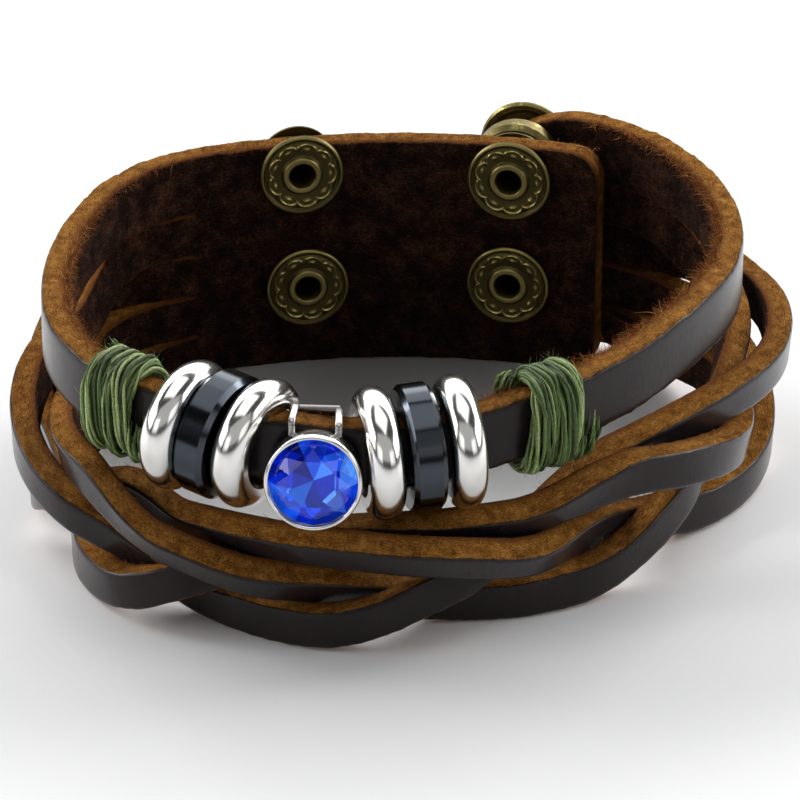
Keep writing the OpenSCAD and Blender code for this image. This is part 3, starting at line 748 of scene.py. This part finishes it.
class BANGLE_OT_cord_wraps(bpy.types.Operator):
    """Wind the bundles of waxed thread round the top strand"""

    bl_idname = "bangle.cord_wraps"
    bl_label = "Cord Wraps"
    width, play = 9.0, 0.1
    # Threads in each ring of the bundle, from the outermost in, with the ring's size
    rings = ((1.0, 20), (0.72, 13), (0.4, 7))
    squareness, first_angle, half_high = 0.72, 2.3, 0.85
    sides, lay_shift, hair_chance = 6, 50, 0.30

    def threads(self, middle, seed, sizes):
        """Centre lines of the threads: each a list of distance along, distance out and height."""
        rng = random.Random(seed)
        turns, r = sizes.bundles, sizes.thread_d / 2
        pitch = self.width / (turns + 1)
        base_a, base_b = STRIP.thick / 2 + self.play, STRIP.top_w / 2 + self.play
        half_w, half_h = pitch / 2 - r * 0.2, self.half_high
        lines = []

        def phase():
            return rng.uniform(0, 6.28)

        for ring, count in self.rings:
            for j in range(count):
                first = 2 * math.pi * (j + rng.uniform(-0.3, 0.3)) / count
                lag = rng.uniform(-0.3, 0.3)
                t = np.arange(0, turns * 2 * math.pi + 0.01, 2 * math.pi / 60) + lag
                spin = first + 0.55 * t + 0.5 * np.sin(0.7 * t + phase())
                swell = ring * (1 + 0.13 * np.sin(1.9 * t + phase()) + 0.08 * np.sin(5.3 * t + phase()))
                along = middle + (t / (2 * math.pi) - turns / 2) * pitch + half_w * swell * np.cos(spin)
                lift = np.clip(r + half_h + half_h * swell * np.sin(spin), r, 2 * half_h + r * 1.2)
                out, up = ((base + lift) * np.sign(c) * np.abs(c) ** self.squareness for base, c in (
                    (base_a, np.cos(t + self.first_angle)), (base_b, np.sin(t + self.first_angle))))
                lines.append((along, out, STRIP.top_height(along) + up, rng.random(), r * rng.uniform(0.82, 1.12)))
        return lines

    def fuzz(self, name, middle, seed, sizes):
        """Short hairs that stand off the outer threads."""
        rng = random.Random(seed + 100)
        points, faces, tones, lays = [], [], [], []
        outermost = self.rings[0][1]
        for along, out, z, _, _ in self.threads(middle, seed, sizes)[:outermost]:
            line = STRIP.spot(along, out, z)
            core = STRIP.spot(along, 0.0, STRIP.top_height(along))
            for base, away in zip(line, line - core):
                if rng.random() > self.hair_chance:
                    continue
                way = away / np.linalg.norm(away) + [rng.gauss(0, 0.7), rng.gauss(0, 0.7), rng.gauss(0.1, 0.7)]
                curl = np.array([rng.gauss(0, 0.7), rng.gauss(0, 0.7), rng.gauss(0, 0.7)])
                reach = rng.uniform(0.25, 0.8)
                more, more_faces = hair(base, way / np.linalg.norm(way), curl, reach, 0.024, len(points))
                tone = rng.uniform(0.5, 1.0)
                points += more
                faces += more_faces
                tones += [tone] * len(more)
                lays += [(tone * self.lay_shift, 1.0, 0.0)] * len(more)
        new_piece(name + "_fuzz", points, faces, FINISHES["green_thread"], [],
                  {"tone": tones, "lay": lays})

    def execute(self, context):
        sizes = context.scene.bangle_sizes
        for name, middle, seed in (("cord_wrap_left", 97.0, 5), ("cord_wrap_right", 139.2, 9)):
            points, faces, tones, lays = [], [], [], []
            for along, out, z, tone, r in self.threads(middle, seed, sizes):
                line = STRIP.spot(along, out, z)
                way = np.gradient(line, axis=0)
                way /= np.linalg.norm(way, axis=1)[:, None]
                side = np.cross(way, (0.0, 0.0, 1.0))
                flat = np.linalg.norm(side, axis=1) < 0.15
                side[flat] = np.cross(way[flat], (1.0, 0.0, 0.0))
                for i in range(1, len(side)):
                    side[i] = side[i - 1] - way[i] * np.dot(side[i - 1], way[i])
                    side[i] /= np.linalg.norm(side[i])
                side[0] /= np.linalg.norm(side[0])
                other = np.cross(way, side)
                run = np.concatenate([[0], np.cumsum(np.linalg.norm(np.diff(line, axis=0), axis=1))])
                steps, count = np.arange(len(line)), len(line)
                taper = np.minimum(1, 0.35 + np.minimum(steps, steps[::-1]) * 0.3)
                a = np.arange(self.sides) * math.pi / 3
                spokes = (np.cos(a)[None, :, None] * side[:, None] + np.sin(a)[None, :, None] * other[:, None])
                ring = line[:, None] + (r * taper)[:, None, None] * spokes
                start = len(points)
                points.extend(ring.reshape(-1, 3).tolist())
                faces.extend([[v + start for v in face] for face in capped(count, self.sides)])
                tones.extend([tone] * (count * self.sides))
                lay = np.stack([np.repeat(run, self.sides), np.tile(np.cos(a), count), np.tile(np.sin(a), count)], -1)
                lays.extend((lay + [tone * self.lay_shift, 0, 0]).tolist())
            new_piece(name + "_threads", points, faces, FINISHES["green_thread"], [name],
                      {"tone": tones, "lay": lays})
            self.fuzz(name, middle, seed, sizes)
        return {"FINISHED"}


def angles_of(corners):
    return np.arange(corners)[:, None] * 2 * math.pi / corners


def turned(profile, corners, relief=None):
    """Points and faces of a closed profile turned about its axis. Relief moves a point by its radius and angle."""
    profile = np.asarray(profile, float)
    angles = angles_of(corners)
    r, h = (np.broadcast_to(column, (corners, len(profile))) for column in profile.T)
    if relief is not None:
        h = h + relief(r, angles, profile)
    points = np.stack([r * np.cos(angles), r * np.sin(angles), h], -1)
    return points.reshape(-1, 3), sleeve(corners, len(profile), joined=True)


def on_snap(index, points):
    """Turned points with their axis laid along a snap's, whose zero is the back arc's centre."""
    angle, level = SNAPS[index]
    a = math.radians(angle)
    outward, sideways = np.array([math.sin(a), math.cos(a), 0]), np.array([math.cos(a), -math.sin(a), 0])
    up = np.array([0.0, 0.0, 1.0])
    centre = np.array([*STRIP.centre, level])
    return centre + points[:, :1] * sideways + points[:, 1:2] * up + points[:, 2:3] * outward


def bowed(r, d):
    return r - math.sqrt(r * r - d * d / 4)


class BANGLE_OT_snaps(bpy.types.Operator):
    """Stamp the flower rosettes and give every stud its antique plating"""

    bl_idname = "bangle.snaps"
    bl_label = "Press Studs"
    rosette_d, lobes, petal_h, corners = 8.7, 9, 0.2, 216

    def execute(self, context):
        half, gap, plate = STRIP.thick / 2, 0.03, 0.5
        face = STRIP.back_r - half - bowed(STRIP.back_r - half, self.rosette_d) - gap
        seat = STRIP.back_r + half + gap
        top = seat + plate + 0.3
        edge, bore, barrel = self.rosette_d / 2, 1.4, 1.95
        front = np.concatenate([np.linspace(bore + 0.06, 2.1, 8), np.linspace(2.2, edge - 0.7, 30),
                                np.linspace(edge - 0.65, edge - 0.25, 6)])
        level = []
        for r in front:
            collar = 0.42 * float(1 - smooth(1.85, 2.2, r))
            dish = 0.14 * float(smooth(2.1, 3.2, r))
            rim = 0.22 * float(smooth(edge - 0.6, edge - 0.3, r))
            level.append(0.38 + collar + dish + rim - 0.14 * float(smooth(3.4, 3.75, r)))
        profile = [(bore, top - face - 0.02), (bore, -0.74)]
        profile += [(r, -h) for r, h in zip(front, level)]
        profile += [(edge - 0.1, -0.52), (edge, -0.38), (edge, -0.2), (edge - 0.1, -0.05), (edge - 0.3, 0.0),
                    (barrel, 0.0), (barrel, seat + plate - face + 0.02), (barrel + 0.28, seat + 0.52 - face),
                    (barrel + 0.3, seat + 0.66 - face), (barrel + 0.1, top - face), (bore + 0.15, top - face)]

        def raised(r, angle, profile):
            lobe = 3.0 + 0.55 * np.abs(np.cos(self.lobes / 2 * angle)) ** 0.6
            rib = np.exp(-((r - lobe) / 0.09) ** 2)
            dot = np.exp(-(((r - 2.95) / 0.15) ** 2 + (np.sin(self.lobes / 2 * angle) / 0.42) ** 2))
            is_front = (profile[:, 1] < -0.3) & (profile[:, 0] > 2.2) & (profile[:, 0] < edge - 0.35)
            return np.maximum(rib, 0.8 * dot) * is_front * smooth(2.2, 2.5, r)

        def petals(r, angle, profile):
            return -self.petal_h * raised(r, angle, profile)

        points, faces = turned(profile, self.corners, petals)
        points[:, 2] += face
        section = np.array(profile)
        radius = np.broadcast_to(section[:, 0], (self.corners, len(section)))
        # Ribs, dots, rim and collar are stored as the raised attribute, which brightens the plating there as rubbed
        # wear and as a painted highlight.
        rubbed_and_highlit = raised(radius, angles_of(self.corners), section)
        rim = (section[:, 1] < -0.5) & (section[:, 0] > edge - 0.32)
        collar = (section[:, 1] < -0.72) & (section[:, 0] < 2.05)
        rubbed_and_highlit = np.maximum(rubbed_and_highlit, 0.45 * (rim | collar))
        for index in range(4):
            new_piece(f"rosette_{index + 1}", on_snap(index, points), faces[:, ::-1], FINISHES["antique_brass"],
                      [f"snap_post_{index + 1}"], {"raised": rubbed_and_highlit.ravel()})
        for kind, count, finish in (("stud", 4, "antique_brass"), ("socket", 2, "bright_brass"),
                                    ("cap", 2, "bright_brass")):
            for index in range(count):
                dress(f"snap_{kind}_{index + 1}", finish)
        return {"FINISHED"}


def dress(node, finish):
    """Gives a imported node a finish."""
    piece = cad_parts[node]
    piece.data.materials.clear()
    piece.data.materials.append(FINISHES[finish])


class BANGLE_OT_ring_beads(bpy.types.Operator):
    """Polish the silver and the dark ring beads"""

    bl_idname = "bangle.ring_beads"
    bl_label = "Ring Beads"

    def execute(self, context):
        for index in range(4):
            dress(f"silver_ring_{index + 1}", "silver")
        for index in range(2):
            dress(f"dark_ring_{index + 1}", "dark_metal")
        return {"FINISHED"}


BEZEL_AT, LOOP_PLAY, LOOP_METAL, LOOP_REACH = 116.5, 0.2, 0.45, 2.1
CUP_TILT, CUP_DROP, CUP_STAND = 12.0, 1.4, STRIP.thick / 2 + LOOP_PLAY + LOOP_METAL + 0.5
STONE_SEAT = 0.6


def on_cup(points):
    """Points in the cup's own frame, moved to the cup."""
    t = math.radians(90 - CUP_TILT)
    x, y, z = np.asarray(points, float).T
    y, z = y * math.cos(t) - z * math.sin(t) - CUP_STAND, y * math.sin(t) + z * math.cos(t) - CUP_DROP
    return on_strand(np.stack([x, y, z], -1))


def on_strand(points, place=BEZEL_AT):
    """Points whose X runs along the strand and -Y outward, moved to a place on the top strand."""
    heading = math.radians(float(STRIP.heading(np.array(place))[1]))
    centre = STRIP.spot(place, 0.0, float(STRIP.top_height(np.array(place))))
    c, d = math.cos(heading), math.sin(heading)
    x, y, z = points.T
    return centre + np.stack([x * c - y * d, x * d + y * c, z], -1)


class BANGLE_OT_bezel(bpy.types.Operator):
    """Form the thin cup that holds the stone, with its rim rolled over, and the two loops behind it"""

    bl_idname = "bangle.bezel"
    bl_label = "Bezel"

    def execute(self, context):
        outer, inner, high = 4.65, 4.35, 2.9
        profile = [
            (0.02, 0.0), (outer - 0.9, 0.0), (outer - 0.35, 0.08), (outer - 0.1, 0.3), (outer, 0.8), (outer, 1.6),
            (outer - 0.02, 2.3), (outer - 0.05, high - 0.3), (outer - 0.13, high - 0.1), (outer - 0.27, high - 0.01),
            (inner - 0.1, high - 0.03), (inner - 0.2, high - 0.2), (inner - 0.12, high - 0.45), (inner, high - 0.6),
            (inner, 0.5), (0.02, 0.5)]
        cup, faces = turned(profile, 120)
        new_piece("bezel", on_cup(cup), faces[:, ::-1], FINISHES["silver"], ["bezel_slider"])
        half, deep, tall, curve = 0.35, STRIP.thick / 2 + LOOP_PLAY, STRIP.top_w / 2 + LOOP_PLAY, 0.25
        metal = LOOP_METAL
        section = [(-half, 0.12), (-half, metal - 0.12), (0.12 - half, metal), (half - 0.12, metal),
                   (half, metal - 0.12), (half, 0.12), (half - 0.12, 0.0), (0.12 - half, 0.0)]
        turn = np.radians(np.concatenate([start + np.arange(5) * 22.5 for start in (180, 270, 0, 90)]))
        side_y, side_z = np.repeat([-1, 1, 1, -1], 5), np.repeat([-1, -1, 1, 1], 5)
        ring = np.concatenate([np.stack([
            np.full(len(turn), x), side_y * (deep - curve) + (curve + grow) * np.cos(turn),
            side_z * (tall - curve) + (curve + grow) * np.sin(turn)], -1) for x, grow in section])
        post, post_faces = turned([(0.02, -0.75), (0.7, -0.75), (0.7, 0.15), (0.02, 0.15)], 24)
        bar_section = [(0.0, -0.45), (0.1, -0.55), (metal - 0.1, -0.55), (metal, -0.45), (metal, 0.4),
                       (metal - 0.15, 0.55), (0.15, 0.55), (0.0, 0.4)]
        bar = [(x, deep + y, tall - 0.2 + z) for x in (-LOOP_REACH, LOOP_REACH) for y, z in bar_section]
        parts = []
        for reach in (-LOOP_REACH, LOOP_REACH):
            parts.append((on_strand(ring, BEZEL_AT + reach), sleeve(len(section), len(turn), joined=True).tolist()))
            parts.append((on_cup(post + [reach, 0, 0]), post_faces[:, ::-1].tolist()))
        parts.append((on_strand(np.array(bar)), capped(2, len(bar_section))))
        points, faces = [], []
        for more, more_faces in parts:
            faces += [[v + len(points) for v in face] for face in more_faces]
            points += more.tolist()
        new_piece("bezel_loops", points, faces, FINISHES["worn_silver"])
        return {"FINISHED"}


class BANGLE_OT_stone(bpy.types.Operator):
    """Cut the round brilliant: table, stars, kites and girdle facets over a foiled pavilion"""

    bl_idname = "bangle.stone"
    bl_label = "Blue Stone"

    def execute(self, context):
        r, keel, girdle, crown = 4.25, 1.1, 0.25, 1.3
        low, high, top = keel, keel + girdle, keel + girdle + crown

        def ring(count, radius, height, turn):
            angles = [2 * math.pi * (k + turn) / count for k in range(count)]
            return [(radius * math.cos(a), radius * math.sin(a), height) for a in angles]

        table = ring(8, r * 0.56, top, 0.5)
        kite = ring(8, r * 0.79, high + crown * 0.60, 0.0)
        upper, lower = ring(16, r, high, 0.0), ring(16, r, low, 0.0)
        pavilion = ring(8, r * 0.5, 0.35, 0.5)
        points = table + kite + upper + lower + pavilion + [(0.0, 0.0, 0.0)]
        t, k, u, v, p, tip = 0, 8, 16, 32, 48, 56
        faces = [[t + i for i in range(8)]]
        for i in range(8):
            before, mine, after = u + (2 * i - 1) % 16, u + 2 * i, u + (2 * i + 1) % 16
            faces += [[t + i, k + i, t + (i - 1) % 8], [t + i, k + i, after], [t + i, after, k + (i + 1) % 8],
                      [k + i, mine, after], [k + i, before, mine]]
        top_count = len(faces)
        for i in range(16):
            faces.append([u + i, v + i, v + (i + 1) % 16, u + (i + 1) % 16])
        for i in range(8):
            mine, after = v + 2 * i, v + (2 * i + 1) % 16
            faces += [[mine, p + i, after], [after, p + i, v + (2 * i + 2) % 16],
                      [mine, p + (i - 1) % 8, p + i], [p + i, p + (i - 1) % 8, tip]]
        rng = random.Random(4)
        # Painted reflections: each foil facet gets a random brightness, and facets towards +X get a painted highlight
        # that makes that side of the stone brighter.
        lit_side_share = [sum(points[v][0] for v in face) / len(face) / r for face in faces]
        tones = [0.5] * top_count + [0.8 * rng.random() ** 1.4 + 0.45 * min(max(x, 0), 1) for x in lit_side_share[top_count:]]
        points = on_cup(np.array(points) + [0, 0, STONE_SEAT])
        piece = new_piece("stone", points, faces, [FINISHES["stone_glass"], FINISHES["stone_foil"]],
                          ["blue_stone"], {"tone": tones}, flat=True)
        shape = bmesh.new()
        shape.from_mesh(piece.data)
        bmesh.ops.recalc_face_normals(shape, faces=shape.faces)
        for index, face in enumerate(shape.faces):
            face.material_index = 0 if index < top_count else 1
        shape.to_mesh(piece.data)
        shape.free()
        return {"FINISHED"}


class BANGLE_OT_stage(bpy.types.Operator):
    """Lay the pale table, hang the soft lights and set the camera where the photograph was taken from"""

    bl_idname = "bangle.stage"
    bl_label = "Table, Lights and Camera"
    # Name, place, what it aims at, size and glow of each, in metres
    lights = [
        ("back", (0.0, 0.61, 0.36), (0, 0, 0.0), (0.6, 0.26), 1.5),
        ("back_left", (-0.45, 0.38, 0.38), (0, 0, 0.0), (0.6, 0.26), 7.4),
        ("back_right", (0.45, 0.38, 0.38), (0, 0, 0.0), (0.6, 0.26), 7.4),
        ("left", (-0.62, 0.0, 0.26), (0, 0, 0.0), (0.6, 0.3), 4.0),
        ("right", (0.62, 0.0, 0.26), (0, 0, 0.0), (0.6, 0.3), 3.8),
        ("front_left", (-0.40, -0.52, 0.20), (0, 0, 0.01), (0.34, 0.26), 1.0),
        ("front_right", (0.40, -0.52, 0.20), (0, 0, 0.01), (0.34, 0.26), 0.9)]
    cards = [
        ("high_card", (0.0, 0.48, 0.48), (0, 0, 0.01), (1.2, 0.5), 2.2),
        ("overhead_card", (-0.02, -0.04, 0.62), (0, 0, 0.01), (0.6, 0.5), 1.5),
        ("front_card", (0.0, -0.62, 0.42), (0, 0, 0.01), (1.3, 0.6), 0.42)]
    # The camera's elevation in degrees, its distance and aim in millimetres, pixels per millimetre at the aim,
    # the aim's pixel and the picture's size
    elevation, distance, aim, scale = 27.0, 500.0, (0.07, 27.81, 12.5), 10.1
    aim_pixel, picture, sensor = (399, 377), 800, 36

    def light(self, name, place, aim, size, glow, card=False):
        """A soft panel. Glow is how bright its face looks in a mirror, and a card shows in mirrors only."""
        data = bpy.data.lights.new(name, "AREA")
        data.shape, data.size, data.size_y = "RECTANGLE", *size
        data.energy = glow * math.pi * size[0] * size[1]
        lamp = bpy.data.objects.new(name, data)
        lamp.location = place
        lamp.visible_diffuse = not card
        lamp.rotation_euler = (Vector(aim) - Vector(place)).to_track_quat("-Z", "Y").to_euler()
        bpy.context.scene.collection.objects.link(lamp)

    def execute(self, context):
        bpy.ops.mesh.primitive_plane_add(size=4, location=(0, 0, 0))
        table = context.active_object
        table.name = "table"
        table.data.materials.append(FINISHES["pale_table"])
        for lamp in self.lights:
            self.light(*lamp)
        for lamp in self.cards:
            self.light(*lamp, card=True)
        world = bpy.data.worlds.new("room")
        world.use_nodes = True
        room = world.node_tree.nodes["Background"].inputs
        room[0].default_value, room[1].default_value = (0.75, 0.77, 0.8, 1), 0.04
        context.scene.world = world
        context.scene.view_settings.view_transform = "Standard"
        tilt, middle = math.radians(self.elevation), self.picture / 2
        target = Vector(self.aim) - Vector((*STRIP.middle, 0))
        back = Vector((0, -math.cos(tilt), math.sin(tilt)))
        data = bpy.data.cameras.new("camera")
        data.sensor_width = self.sensor
        data.lens = self.sensor * self.scale * self.distance / self.picture
        data.shift_x = (middle - self.aim_pixel[0]) / self.picture
        data.shift_y = (self.aim_pixel[1] - middle) / self.picture
        data.clip_start, data.clip_end = 0.01, 10
        camera = bpy.data.objects.new("camera", data)
        camera.location = (target + back * self.distance) * MM
        camera.rotation_euler = (-back).to_track_quat("-Z", "Y").to_euler()
        context.scene.collection.objects.link(camera)
        context.scene.camera = camera
        return {"FINISHED"}


class BANGLE_OT_finishes(bpy.types.Operator):
    """Mix every finish of the bangle and the table"""

    bl_idname = "bangle.finishes"
    bl_label = "Finishes"

    def execute(self, context):
        look = context.scene.bangle_colours
        leather_finish(look)
        fibre_finish()
        thread_finish(look)
        brass_finish("antique_brass", look.brass, 0.0)
        brass_finish("bright_brass", scaled(look.brass, 1.7), 0.12)
        silver_finish("silver", look.silver, 0.15)
        silver_finish("worn_silver", scaled(look.silver, 0.45), 0.24)
        silver_finish("dark_metal", look.dark, 0.13)
        foil_finish(look)
        glass_finish()
        table_finish()
        return {"FINISHED"}


ORDER = ["finishes", "stage", "leather_strands", "leather_tabs", "leather_fibres", "cord_wraps", "snaps", "ring_beads",
         "bezel", "stone"]


class BANGLE_PT_panel(bpy.types.Panel):
    """Lists the steps and the sizes of the bangle"""

    bl_idname = "BANGLE_PT_panel"
    bl_label = "Leather Bangle"
    bl_space_type = "VIEW_3D"
    bl_region_type = "UI"
    bl_category = "Bangle"

    def draw(self, context):
        for step in ORDER:
            self.layout.operator("bangle." + step)
        for group in (context.scene.bangle_sizes, context.scene.bangle_colours):
            for name in group.__annotations__:
                self.layout.prop(group, name)


CLASSES = (
    BangleSizes, BangleColours, BANGLE_OT_stage, BANGLE_OT_finishes, BANGLE_OT_leather_strands, BANGLE_OT_leather_tabs,
    BANGLE_OT_leather_fibres, BANGLE_OT_cord_wraps, BANGLE_OT_snaps, BANGLE_OT_ring_beads, BANGLE_OT_bezel,
    BANGLE_OT_stone, BANGLE_PT_panel)


def register():
    for one in CLASSES:
        bpy.utils.register_class(one)
    bpy.types.Scene.bangle_sizes = bpy.props.PointerProperty(type=BangleSizes)
    bpy.types.Scene.bangle_colours = bpy.props.PointerProperty(type=BangleColours)


def unregister():
    del bpy.types.Scene.bangle_colours
    del bpy.types.Scene.bangle_sizes
    for one in reversed(CLASSES):
        bpy.utils.unregister_class(one)


def main():
    register()
    for step in ORDER:
        getattr(bpy.ops.bangle, step)()


if __name__ == "__main__":
    main()
